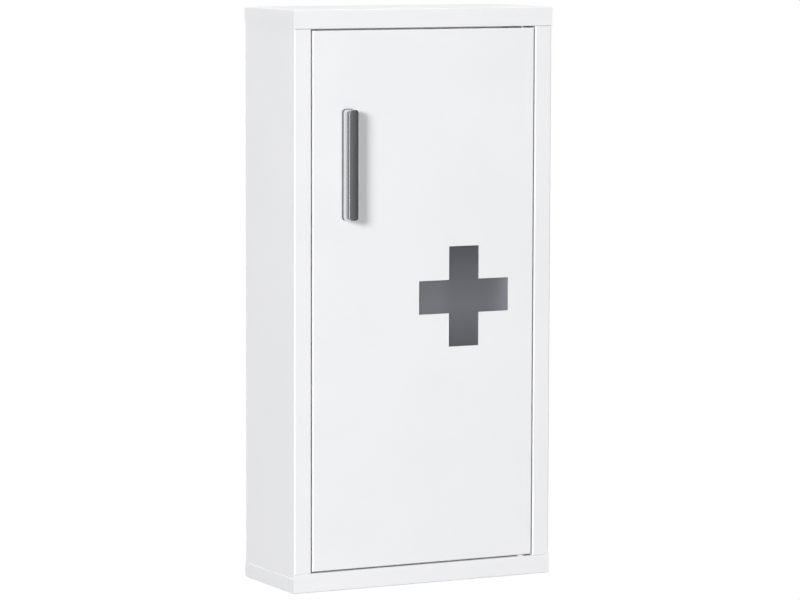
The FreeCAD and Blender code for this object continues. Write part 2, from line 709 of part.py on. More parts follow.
def pole_plates():
    """Two steel plates beside the magnet, which stand out to meet the door's hem."""
    offset = MAGNET_WIDTH / 2 + POCKET_CLEARANCE + POLE_THICKNESS / 2
    plates = []
    for sign in (-1, 1):
        centre = (CATCH_X + sign * offset, CATCH_CENTRE_Z)
        loop = rectangle(centre, POLE_THICKNESS, MAGNET_HEIGHT)
        front = CATCH_FRONT - POLE_PROJECTION
        plates.append(rounded_prism("XZ", loop, [0.0] * 4, front, CATCH_FRONT + MAGNET_DEPTH))
    return plates


def catch_screw(x, z):
    """Screw that holds one ear of the catch to its bracket."""
    seat = CATCH_REAR - CATCH_EAR_THICKNESS
    tail = CATCH_REAR + CATCH_BRACKET_SHEET + CATCH_SCREW_TAIL
    shank = crosswise_rod(x, z, CATCH_SCREW_RADIUS, seat, tail)
    top = seat - CATCH_SCREW_HEAD_HEIGHT
    head = crosswise_rod(x, z, CATCH_SCREW_HEAD_RADIUS, top, seat)
    return shank.fuse(head).removeSplitter()


def door_bumpers():
    """Rubber discs on the stop lips, above and below, against which the door closes."""
    front = STOP_FACE - BUMPER_THICKNESS
    left = -DOOR_X + BUMPER_EDGE_INSET
    right = STOP_LIP_RIGHT_END - BUMPER_EDGE_INSET
    height = OPENING_Z - STOP_LIP + BUMPER_RADIUS + INNER_BEND / 2
    upper = [crosswise_rod(x, height, BUMPER_RADIUS, front, STOP_FACE) for x in (left, right)]
    return upper + [lower_copy(disc) for disc in upper]


def build():
    """Make every piece and write its file."""
    os.makedirs("parts", exist_ok=True)
    top = top_panel()
    right_side = side_panel()
    save("top_panel", top)
    save("bottom_panel", lower_copy(top))
    save("right_side_panel", right_side)
    save("left_side_panel", right_copy(right_side))
    save("back_panel", back_panel())
    for name, level in zip(("lower", "upper"), shelf_tops()):
        save(f"{name}_shelf", shelf(level))
        save(f"{name}_shelf_angles", *shelf_angles(level))
    save("door_panel", door_panel())
    save("window_pane", window_pane())
    save("pane_tape", pane_tape())
    save("door_handle", door_handle())
    save("handle_screws", *[handle_screw(x, z) for x, z in handle_screw_places()])
    save("handle_backing_plate", handle_backing_plate())
    save("upper_hinge_bracket", hinge_bracket())
    save("lower_hinge_bracket", lower_copy(hinge_bracket()))
    save("upper_hinge_pin", hinge_pin())
    save("lower_hinge_pin", lower_copy(hinge_pin()))
    save("hinge_pin_clips", pin_clip(), lower_copy(pin_clip()))
    save("upper_hinge_bush", upper_hinge_bush())
    save("lower_hinge_bush", lower_hinge_bush())
    save("catch_bracket", catch_bracket())
    save("catch_housing", catch_housing())
    save("catch_magnet", catch_magnet())
    save("catch_pole_plates", *pole_plates())
    save("catch_screws", *[catch_screw(x, z) for x, z in catch_screw_places()])
    save("door_bumpers", *door_bumpers())


build()
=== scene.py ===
"""Looks of a wall medicine cabinet of folded sheet steel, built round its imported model.

Everything is in metres, in the model's own frame: X to the right as one faces the door, Y into
the wall, Z up, with the origin at the centre of the back face.
"""

from __future__ import annotations

import json
import logging
import math
from dataclasses import dataclass, field
from enum import Enum
from typing import Any, Callable, Sequence

import bpy
from mathutils import Matrix, Vector

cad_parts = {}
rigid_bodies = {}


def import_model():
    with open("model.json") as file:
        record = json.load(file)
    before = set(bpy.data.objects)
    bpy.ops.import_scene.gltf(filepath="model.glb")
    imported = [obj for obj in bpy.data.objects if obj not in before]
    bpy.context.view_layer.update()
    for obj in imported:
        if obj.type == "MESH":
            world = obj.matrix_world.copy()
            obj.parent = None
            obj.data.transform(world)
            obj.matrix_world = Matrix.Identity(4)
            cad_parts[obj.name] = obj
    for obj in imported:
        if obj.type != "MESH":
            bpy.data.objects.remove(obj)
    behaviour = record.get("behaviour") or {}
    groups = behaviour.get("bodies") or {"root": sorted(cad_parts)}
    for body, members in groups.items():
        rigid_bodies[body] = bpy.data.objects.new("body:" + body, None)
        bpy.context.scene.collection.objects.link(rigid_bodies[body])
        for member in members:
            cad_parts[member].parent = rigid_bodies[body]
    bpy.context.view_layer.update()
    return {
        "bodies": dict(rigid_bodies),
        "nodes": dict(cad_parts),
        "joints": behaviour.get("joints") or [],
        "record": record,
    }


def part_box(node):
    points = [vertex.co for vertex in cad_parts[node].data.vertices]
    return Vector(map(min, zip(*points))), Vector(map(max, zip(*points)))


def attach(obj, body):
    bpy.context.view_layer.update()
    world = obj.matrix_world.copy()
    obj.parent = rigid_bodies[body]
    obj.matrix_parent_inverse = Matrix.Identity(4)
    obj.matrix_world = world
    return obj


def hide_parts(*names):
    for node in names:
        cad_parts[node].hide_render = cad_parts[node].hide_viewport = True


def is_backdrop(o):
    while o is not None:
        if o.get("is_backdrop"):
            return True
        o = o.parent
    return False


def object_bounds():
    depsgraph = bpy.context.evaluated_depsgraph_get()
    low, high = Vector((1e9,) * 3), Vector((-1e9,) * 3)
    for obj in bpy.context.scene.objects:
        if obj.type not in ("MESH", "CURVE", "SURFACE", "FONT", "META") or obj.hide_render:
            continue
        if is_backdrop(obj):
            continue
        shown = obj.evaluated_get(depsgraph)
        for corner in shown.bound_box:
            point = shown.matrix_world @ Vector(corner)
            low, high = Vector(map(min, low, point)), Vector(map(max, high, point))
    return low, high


LOG = logging.getLogger("cabinet")
MM = 0.001

Point = tuple[float, float, float]
Number = float | int


class Body(str, Enum):
    """The two rigid bodies of the cabinet."""

    CABINET = "cabinet"
    DOOR = "door"


class Slot(str, Enum):
    """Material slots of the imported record."""

    CASING = "casing_paint"
    SHELF = "shelf_paint"
    DOOR = "door_paint"
    PANE = "smoked_pane"
    TAPE = "adhesive_tape"
    HANDLE = "handle_metal"
    STEEL = "plated_steel"
    NYLON = "white_nylon"
    CATCH = "catch_plastic"
    MAGNET = "magnet_ferrite"
    RUBBER = "bumper_rubber"


class Operand:
    """One output socket, on which plain arithmetic adds Math nodes."""

    def __init__(self, graph: "Graph", socket: bpy.types.NodeSocket) -> None:
        """Wrap a socket.

        Args:
            graph: The graph that holds the socket's node.
            socket: The output socket.
        """
        self.graph = graph
        self.socket = socket

    def math(self, operation: str, *others: "Operand | Number") -> "Operand":
        """Result of a Math node on this value.

        Args:
            operation: The Math node's operation.
            others: Its second and third values.

        Returns:
            The node's value.
        """
        return self.graph.maths(operation, self, *others)

    def __add__(self, other: "Operand | Number") -> "Operand":
        """Sum."""
        return self.math("ADD", other)

    __radd__ = __add__

    def __mul__(self, other: "Operand | Number") -> "Operand":
        """Product."""
        return self.math("MULTIPLY", other)

    __rmul__ = __mul__

    def __sub__(self, other: "Operand | Number") -> "Operand":
        """Difference."""
        return self.math("SUBTRACT", other)

    def __rsub__(self, other: Number) -> "Operand":
        """Difference from a number."""
        return self.graph.maths("SUBTRACT", other, self)

    def __pow__(self, other: "Operand | Number") -> "Operand":
        """Power."""
        return self.math("POWER", other)

    def __abs__(self) -> "Operand":
        """Absolute value."""
        return self.math("ABSOLUTE")

    def rise(self, low: float, high: float, start: float = 0.0, end: float = 1.0) -> "Operand":
        """Smooth step from one value to another.

        Args:
            low: Input at which the step starts.
            high: Input at which it ends.
            start: Output at and below the start.
            end: Output at and above the end.

        Returns:
            The stepped value.
        """
        settings = {"interpolation_type": "SMOOTHSTEP"}
        inputs = {
            "Value": self,
            "From Min": low,
            "From Max": high,
            "To Min": start,
            "To Max": end,
        }
        return self.graph.node("ShaderNodeMapRange", settings, inputs, "Result")


class Graph:
    """Shader nodes of one material or of the world."""

    def __init__(self, tree: bpy.types.NodeTree) -> None:
        """Start an empty graph.

        Args:
            tree: The node tree to fill.
        """
        self.tree = tree
        self.tree.nodes.clear()

    def node(
        self,
        kind: str,
        settings: dict[str, Any] | None = None,
        inputs: dict[str | int, Any] | None = None,
        output: str | int = 0,
    ) -> Operand:
        """Add one node.

        Args:
            kind: The node's type.
            settings: Its properties, set before its sockets. "stops" fills a colour ramp.
            inputs: Values or links of its sockets, by name or number.
            output: The output to return.

        Returns:
            The chosen output.
        """
        made = self.tree.nodes.new(kind)
        for name, value in (settings or {}).items():
            if name == "stops":
                self._fill_ramp(made.color_ramp, value)
            else:
                setattr(made, name, value)
        for name, value in (inputs or {}).items():
            if isinstance(value, Operand):
                self.tree.links.new(value.socket, made.inputs[name])
            else:
                made.inputs[name].default_value = value
        return Operand(self, made.outputs[output]) if made.outputs else Operand(self, None)

    @staticmethod
    def _fill_ramp(ramp: bpy.types.ColorRamp, stops: Sequence[tuple[float, Sequence[float]]]) -> None:
        """Give a colour ramp its stops.

        Args:
            ramp: The ramp.
            stops: Places and RGB colours, in rising order.
        """
        while len(ramp.elements) < len(stops):
            ramp.elements.new(1.0)
        for element, (place, colour) in zip(ramp.elements, stops):
            element.position = place
            element.color = (*colour, 1.0)

    def maths(self, operation: str, *values: Operand | Number) -> Operand:
        """Math node on values or links.

        Args:
            operation: The node's operation.
            values: Its inputs in order.

        Returns:
            The node's value.
        """
        inputs = dict(enumerate(values))
        return self.node("ShaderNodeMath", {"operation": operation}, inputs)

    def place(self) -> Operand:
        """Position on the piece, in metres in the cabinet's frame."""
        return self.node("ShaderNodeTexCoord", output="Object")

    def axes(self, place: Operand | None = None) -> tuple[Operand, Operand, Operand]:
        """The three coordinates of a position.

        Args:
            place: The position, or none for the piece's own.

        Returns:
            X, Y and Z.
        """
        split = self.node("ShaderNodeSeparateXYZ", inputs={0: place or self.place()})
        outputs = split.socket.node.outputs
        return Operand(self, outputs[0]), Operand(self, outputs[1]), Operand(self, outputs[2])

    def stretched(self, scale: Point) -> Operand:
        """Position multiplied along each axis.

        Args:
            scale: The three factors.

        Returns:
            The stretched position.
        """
        settings = {"operation": "MULTIPLY"}
        return self.node("ShaderNodeVectorMath", settings, {0: self.place(), 1: scale})

    def noise(self, per_metre: float, detail: float = 2.0, place: Operand | None = None) -> Operand:
        """Cloudy value about one half.

        Args:
            per_metre: Number of clouds to a metre.
            detail: Octaves of finer cloud.
            place: The position, or none for the piece's own.

        Returns:
            The value.
        """
        inputs = {"Vector": place or self.place(), "Scale": per_metre, "Detail": detail}
        return self.node("ShaderNodeTexNoise", {"noise_dimensions": "3D"}, inputs, "Fac")

    def blend(self, share: Operand, first: Sequence[float], second: Sequence[float]) -> Operand:
        """Colour between two colours.

        Args:
            share: How much of the second colour shows.
            first: RGB colour at 0.
            second: RGB colour at 1.

        Returns:
            The colour.
        """
        inputs = {0: share, 6: (*first, 1.0), 7: (*second, 1.0)}
        return self.node("ShaderNodeMix", {"data_type": "RGBA"}, inputs, 2)

    def bump(self, height: Operand, depth: float) -> Operand:
        """Surface normal of a fine relief.

        Args:
            height: The relief, from 0 to 1.
            depth: What a height of 1 measures, in metres.

        Returns:
            The normal.
        """
        return self.node("ShaderNodeBump", inputs={"Height": height, "Distance": depth})

    def principled(self, **inputs: Any) -> Operand:
        """Principled surface.

        Args:
            inputs: Its sockets, with underscores for spaces.

        Returns:
            The shader.
        """
        named = {key.replace("_", " "): value for key, value in inputs.items()}
        return self.node("ShaderNodeBsdfPrincipled", inputs=named)


@dataclass(frozen=True)
class Finish:
    """A surface finish, made into one material."""

    name: str

    def material(self) -> bpy.types.Material:
        """Make the material.

        Returns:
            The new material.
        """
        made = bpy.data.materials.new(self.name)
        made.use_nodes = True
        graph = Graph(made.node_tree)
        graph.node("ShaderNodeOutputMaterial", inputs={"Surface": self.surface(graph)})
        return made

    def surface(self, graph: Graph) -> Operand:
        """The shader, which each finish makes.

        Args:
            graph: The material's nodes.
        """
        raise NotImplementedError


@dataclass(frozen=True)
class WeldRow:
    """Row of shallow spot-weld marks on a sheet, mirrored about the cabinet's middle."""

    across: int
    distance: float
    along: int
    pitch: float
    radius: float = 2.6 * MM

    def mark(self, graph: Graph) -> Operand:
        """Depth of the marks, 1 in a mark and 0 outside.

        Args:
            graph: The material's nodes.

        Returns:
            The depth.
        """
        place = graph.axes()
        half = self.pitch / 2
        off_row = abs(place[self.across]) - self.distance
        off_mark = place[self.along].math("WRAP", half, -half)
        away = (off_row * off_row + off_mark * off_mark) ** 0.5
        return away.rise(0.7 * self.radius, 1.15 * self.radius, 1.0, 0.0)


@dataclass(frozen=True)
class PowderCoat(Finish):
    """Baked white powder coat with a fine orange peel."""

    colour: Point = (0.858, 0.86, 0.873)
    shade: Point = (0.835, 0.838, 0.855)
    roughness: float = 0.4
    peel_per_metre: float = 620.0
    peel_depth: float = 0.035 * MM
    welds: tuple[WeldRow, ...] = ()

    def surface(self, graph: Graph) -> Operand:
        """Mottled white with orange peel, and weld marks where there are any.

        Args:
            graph: The material's nodes.

        Returns:
            The shader.
        """
        drift = graph.noise(9.0, 3.0)
        grain = graph.noise(2400.0, 2.0)
        tone = drift.rise(0.35, 0.7) * 0.7 + grain * 0.3
        peel = graph.noise(self.peel_per_metre, 1.5)
        relief = peel + graph.noise(self.peel_per_metre * 3.1, 1.0) * 0.25
        normal = graph.bump(relief, self.peel_depth)
        if self.welds:
            marks = self.welds[0].mark(graph)
            for row in self.welds[1:]:
                marks = marks.math("MAXIMUM", row.mark(graph))
            dished = {"Height": 1 - marks, "Distance": 0.22 * MM, "Normal": normal}
            normal = graph.node("ShaderNodeBump", inputs=dished)
        return graph.principled(
            Base_Color=graph.blend(tone, self.colour, self.shade),
            Roughness=self.roughness + (grain - 0.5) * 0.12,
            IOR=1.5,
            Normal=normal,
        )


@dataclass(frozen=True)
class SmokedPane(Finish):
    """Satin smoked acrylic whose tint carries a painted reflection: lighter at mid height, on the left and towards
    the right end.
    """

    dark: Point = (0.0745, 0.0765, 0.086)
    light: Point = (0.208, 0.2145, 0.238)
    roughness: float = 0.34

    def surface(self, graph: Graph) -> Operand:
        """Smoke tint with a painted reflection and a faint random drift.

        Args:
            graph: The material's nodes.

        Returns:
            The shader.
        """
        across, _, height = graph.axes()
        cloud = graph.noise(11.0, 1.0)
        speck = graph.noise(3600.0, 1.0)
        # Painted reflection: the tint darkens away from mid height and lightens on the left and towards the right
        # end; only the cloud is random tone.
        painted_reflection_falloff = abs(height + 9 * MM) ** 1.2
        right = (across - 70 * MM).math("MAXIMUM", 0.0)
        left = across.rise(15 * MM, 35 * MM, 0.166, 0.0)
        share = 0.54 - painted_reflection_falloff * 14.3 + left + right * right * 771.0 + (cloud - 0.5) * 0.12
        return graph.principled(
            Base_Color=graph.blend(share, self.dark, self.light),
            Roughness=self.roughness + (speck - 0.5) * 0.1,
            IOR=1.49,
            Normal=graph.bump(speck, 0.004 * MM),
        )


@dataclass(frozen=True)
class SatinMetal(Finish):
    """Satin plated metal with faint lines along one axis."""

    colour: Point = (0.815, 0.84, 0.85)
    shade: Point = (0.765, 0.79, 0.80)
    roughness: float = 0.18
    lines: Point = (900.0, 900.0, 14.0)

    def surface(self, graph: Graph) -> Operand:
        """Metal whose roughness and tone vary along fine lines.

        Args:
            graph: The material's nodes.

        Returns:
            The shader.
        """
        brushed = graph.noise(1.0, 2.0, graph.stretched(self.lines))
        cloud = graph.noise(60.0, 2.0)
        return graph.principled(
            Base_Color=graph.blend(brushed.rise(0.3, 0.7), self.colour, self.shade),
            Metallic=1.0,
            Roughness=self.roughness + (brushed - 0.5) * 0.08 + (cloud - 0.5) * 0.04,
            Normal=graph.bump(brushed, 0.002 * MM),
        )


@dataclass(frozen=True)
class ZincPlate(Finish):
    """Bright zinc plating with a faint blue and straw bloom."""

    blue: Point = (0.6, 0.64, 0.69)
    straw: Point = (0.7, 0.68, 0.6)

    def surface(self, graph: Graph) -> Operand:
        """Metal whose hue drifts between blue and straw.

        Args:
            graph: The material's nodes.

        Returns:
            The shader.
        """
        cloud = graph.noise(260.0, 3.0)
        crystal = graph.noise(2200.0, 2.0)
        return graph.principled(
            Base_Color=graph.blend(cloud.rise(0.35, 0.65), self.blue, self.straw),
            Metallic=1.0,
            Roughness=0.24 + crystal * 0.2,
            Normal=graph.bump(crystal, 0.003 * MM),
        )


@dataclass(frozen=True)
class Moulding(Finish):
    """Moulded plastic or rubber with a fine spark-eroded grain."""

    colour: Point = (0.8, 0.8, 0.78)
    shade: Point = (0.74, 0.74, 0.71)
    roughness: float = 0.45
    grain_depth: float = 0.012 * MM
    translucency: float = 0.0

    def surface(self, graph: Graph) -> Operand:
        """Plastic with a mottled tone and grain.

        Args:
            graph: The material's nodes.

        Returns:
            The shader.
        """
        cloud = graph.noise(140.0, 3.0)
        grain = graph.noise(2600.0, 2.0)
        return graph.principled(
            Base_Color=graph.blend(cloud.rise(0.3, 0.7), self.colour, self.shade),
            Roughness=self.roughness + (grain - 0.5) * 0.15,
            IOR=1.5,
            Subsurface_Weight=self.translucency,
            Subsurface_Scale=1.5 * MM,
            Normal=graph.bump(grain, self.grain_depth),
        )


@dataclass(frozen=True)
class Ferrite(Finish):
    """Sintered ferrite: dark grey, dull and pitted."""

    def surface(self, graph: Graph) -> Operand:
        """Dark sinter with pits.

        Args:
            graph: The material's nodes.

        Returns:
            The shader.
        """
        grain = graph.noise(1500.0, 3.0)
        pits = graph.noise(420.0, 2.0).rise(0.3, 0.42)
        return graph.principled(
            Base_Color=graph.blend(grain, (0.045, 0.045, 0.05), (0.1, 0.1, 0.105)),
            Roughness=0.62 + (grain - 0.5) * 0.2,
            Normal=graph.bump(pits * 0.7 + grain * 0.3, 0.05 * MM),
        )


@dataclass
class Draft:
    """Vertices and faces of a mesh on its way to becoming a piece."""

    points: list[Vector] = field(default_factory=list)
    faces: list[tuple[int, ...]] = field(default_factory=list)

    def ring_stack(self, rings: Sequence[Sequence[Vector]]) -> "Draft":
        """Join equal rings one after another and close both ends.

        Args:
            rings: Rings of points, all of one length.

        Returns:
            This draft.
        """
        base = len(self.points)
        count = len(rings[0])
        for ring in rings:
            self.points.extend(ring)
        for row in range(len(rings) - 1):
            low = base + row * count
            for step in range(count):
                following = (step + 1) % count
                self.faces.append((low + step, low + following, low + count + following, low + count + step))
        self.faces.append(tuple(base + step for step in reversed(range(count))))
        top = base + (len(rings) - 1) * count
        self.faces.append(tuple(top + step for step in range(count)))
        return self

    def grown(self, other: "Draft", move: Matrix) -> "Draft":
        """Add a moved copy of another draft.

        Args:
            other: What to copy.
            move: How the copy is moved.

        Returns:
            This draft.
        """
        base = len(self.points)
        self.points.extend(move @ point for point in other.points)
        flip = move.determinant() < 0
        for face in other.faces:
            corners = tuple(base + corner for corner in face)
            self.faces.append(corners[::-1] if flip else corners)
        return self

    def piece(self, name: str, smooth_below: float = 35.0) -> bpy.types.Object:
        """Make the object.

        Args:
            name: The piece's name.
            smooth_below: Angle in degrees below which an edge shades smooth.

        Returns:
            The new object, linked to the scene.
        """
        mesh = bpy.data.meshes.new(name)
        mesh.from_pydata([tuple(point) for point in self.points], [], self.faces)
        mesh.validate()
        mesh.shade_smooth()
        mesh.set_sharp_from_angle(angle=math.radians(smooth_below))
        made = bpy.data.objects.new(name, mesh)
        bpy.context.scene.collection.objects.link(made)
        return made

    def taken(self, source: bpy.types.Object) -> "Draft":
        """Take over an object's mesh and delete the object.

        Args:
            source: The object.

        Returns:
            This draft.
        """
        base = len(self.points)
        self.points.extend(vertex.co.copy() for vertex in source.data.vertices)
        for face in source.data.polygons:
            self.faces.append(tuple(base + corner for corner in face.vertices))
        bpy.data.objects.remove(source, do_unlink=True)
        return self


def facing(place: Vector, outward: float) -> Matrix:
    """Move a form that stands up along Z to a place, where it points along Y instead.

    Args:
        place: Where the form's origin goes.
        outward: -1 if it points to the front, 1 if to the back.

    Returns:
        The move.
    """
    return Matrix.Translation(place) @ Matrix.Rotation(-outward * math.pi / 2, 4, "X")


def slab(low: Point, high: Point) -> Draft:
    """Block between two corners, as a first form to carve.

    Args:
        low: Its lowest corner.
        high: Its highest corner.

    Returns:
        The draft.
    """
    corners = ((low[0], low[1]), (high[0], low[1]), (high[0], high[1]), (low[0], high[1]))
    return Draft().ring_stack([[Vector((x, y, z)) for x, y in corners] for z in (low[2], high[2])])


def lathe(profile: Sequence[tuple[float, float]], segments: int = 48) -> Draft:
    """Turned solid about Z.

    Args:
        profile: Radius and height pairs from the bottom up, none on the axis.
        segments: Sides of the turned form.

    Returns:
        The draft.
    """
    turns = [2 * math.pi * step / segments for step in range(segments)]
    rings = [[Vector((r * math.cos(a), r * math.sin(a), h)) for a in turns] for r, h in profile]
    return Draft().ring_stack(rings)


def carved(target: bpy.types.Object, cutter: bpy.types.Object, union: bool = False) -> None:
    """Cut one object out of another, or join it, and delete the second.

    Args:
        target: What is changed.
        cutter: What is taken away or added.
        union: Whether it is added.
    """
    change = target.modifiers.new("carve", "BOOLEAN")
    change.operation = "UNION" if union else "DIFFERENCE"
    change.solver = "EXACT"
    change.object = cutter
    bpy.context.view_layer.update()
    graph = bpy.context.evaluated_depsgraph_get()
    result = bpy.data.meshes.new_from_object(target.evaluated_get(graph))
    target.modifiers.clear()
    target.data = result
    target.data.shade_smooth()
    target.data.set_sharp_from_angle(angle=math.radians(35.0))
    bpy.data.objects.remove(cutter, do_unlink=True)


def corner_arc(radius: float, steps: int, start: float, end: float) -> list[tuple[float, float]]:
    """Points of an arc about the origin.

    Args:
        radius: The arc's radius.
        steps: Number of steps.
        start: First angle in degrees.
        end: Last angle in degrees.

    Returns:
        The points.
    """
    angles = [math.radians(start + (end - start) * step / steps) for step in range(steps + 1)]
    return [(radius * math.cos(angle), radius * math.sin(angle)) for angle in angles]


@dataclass(frozen=True)
class PanScrew:
    """Pan-head machine screw with a cross recess and a rolled thread."""

    head_radius: float
    head_height: float
    shank_radius: float
    length: float
    pitch: float
    segments: int = 40

    def draft(self) -> Draft:
        """Make the screw about Z, with its head above the origin.

        Returns:
            The draft.
        """
        head = lathe(self.head_profile(), self.segments).piece("screw_head")
        carved(head, self.recess().piece("screw_recess"))
        return self.thread().taken(head)

    def head_profile(self) -> list[tuple[float, float]]:
        """Radius and height of the head, from under it to its crown.

        Returns:
            The profile.
        """
        side = 0.42 * self.head_height
        profile = [(0.96 * self.head_radius, 0.0), (self.head_radius, 0.08 * self.head_height)]
        for step in range(9):
            turn = math.radians(10.0 * step)
            reach = self.head_radius * (0.35 + 0.65 * math.cos(turn))
            profile.append((reach, side + (self.head_height - side) * math.sin(turn) / math.sin(1.4)))
        return profile

    def recess(self) -> Draft:
        """Tapered cross that is cut into the head.

        Returns:
            The draft.
        """
        rings = []
        for height, reach in ((0.3, 0.2), (1.0, 0.56), (1.6, 0.87)):
            near = 0.11 * self.head_radius * (1 + 0.2 * height)
            far = max(reach * self.head_radius, 1.5 * near)
            quarter = [(far, -near), (far, near), (near, near)]
            ring = []
            for turn in range(4):
                spin = Matrix.Rotation(turn * math.pi / 2, 3, "Z")
                ring += [spin @ Vector((u, v, height * self.head_height)) for u, v in quarter]
            rings.append(ring)
        return Draft().ring_stack(rings)

    def thread(self) -> Draft:
        """Shank whose surface climbs as a thread.

        Returns:
            The draft.
        """
        depth = 0.55 * self.pitch
        chamfer = 1.2 * self.pitch
        rows = round(self.length / self.pitch * 8)
        rings = []
        for row in range(rows + 1):
            height = -self.length * (1 - row / rows)
            taper = max(0.0, 1 - (height + self.length) / chamfer) * depth
            fade = min(1.0, -height / self.pitch)
            ring = []
            for step in range(self.segments):
                share = step / self.segments
                phase = (height / self.pitch - share) % 1.0
                groove = depth * min(1.0, 1.6 * (1 - abs(2 * phase - 1))) * fade
                radius = min(self.shank_radius - groove, self.shank_radius - taper)
                turn = 2 * math.pi * share
                ring.append(Vector((radius * math.cos(turn), radius * math.sin(turn), height)))
            rings.append(ring)
        return Draft().ring_stack(rings)


@dataclass
class Part:
    """A sub-assembly, which dresses its nodes and adds its own pieces."""

    frame: dict[str, Any]

    def paint(self, finish: Finish, *nodes: str) -> None:
        """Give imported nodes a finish.

        Args:
            finish: The finish.
            nodes: Names of the nodes.
        """
        made = finish.material()
        for node in nodes:
            dressed = self.frame["nodes"][node]
            dressed.data.materials.clear()
            dressed.data.materials.append(made)
            LOG.info("%s is finished with %s", node, finish.name)

    def fit(
        self,
        piece: bpy.types.Object,
        finish: Finish,
        body: Body,
        slot: Slot,
        replaces: Sequence[str] = (),
    ) -> bpy.types.Object:
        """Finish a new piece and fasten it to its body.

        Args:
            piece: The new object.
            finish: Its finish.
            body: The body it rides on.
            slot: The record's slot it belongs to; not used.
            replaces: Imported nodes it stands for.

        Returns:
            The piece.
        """
        piece.data.materials.clear()
        piece.data.materials.append(finish.material())
        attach(piece, body.value)
        if replaces:
            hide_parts(*replaces)
        LOG.info("%s rides on %s and is finished with %s", piece.name, body.value, finish.name)
        return piece


@dataclass
class Casing(Part):
    """Top, bottom, sides and back of folded sheet."""

    weld_inset: float = 8.0 * MM
    weld_pitch: float = 60.0 * MM

    def dress(self) -> None:
        """Paint the casing, with weld marks on the back."""
        coat = PowderCoat("casing_powder_coat")
        self.paint(coat, "top_panel", "bottom_panel", "left_side_panel", "right_side_panel")
        low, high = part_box("back_panel")
        rows = (
            WeldRow(0, high[0] - self.weld_inset, 2, self.weld_pitch),
            WeldRow(2, high[2] - self.weld_inset, 0, self.weld_pitch),
        )
        self.paint(PowderCoat("back_powder_coat", welds=rows), "back_panel")


@dataclass
class Shelves(Part):
    """Two shelves and the angles that carry them."""

    def dress(self) -> None:
        """Paint the shelves and their angles."""
        coat = PowderCoat("shelf_powder_coat", roughness=0.46)
        self.paint(coat, "upper_shelf", "lower_shelf", "catch_bracket")
        low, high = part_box("upper_shelf_angles")
        leg_middle = (low[2] + high[2]) / 2
        rows = (WeldRow(2, leg_middle, 1, 24.0 * MM, 2.2 * MM),)
        welded = PowderCoat("angle_powder_coat", roughness=0.46, welds=rows)
        self.paint(welded, "upper_shelf_angles", "lower_shelf_angles")


@dataclass
class Door(Part):
    """Door pan with its window."""

    def dress(self) -> None:
        """Paint the door and finish its pane and tape."""
        coat = PowderCoat("door_powder_coat")
        nodes = ("door_panel", "upper_hinge_bracket", "lower_hinge_bracket", "handle_backing_plate")
        self.paint(coat, *nodes)
        self.paint(SmokedPane("smoked_acrylic"), "window_pane")
        tape = Moulding("foam_tape", (0.03, 0.03, 0.032), (0.045, 0.045, 0.047), 0.85)
        self.paint(tape, "pane_tape")


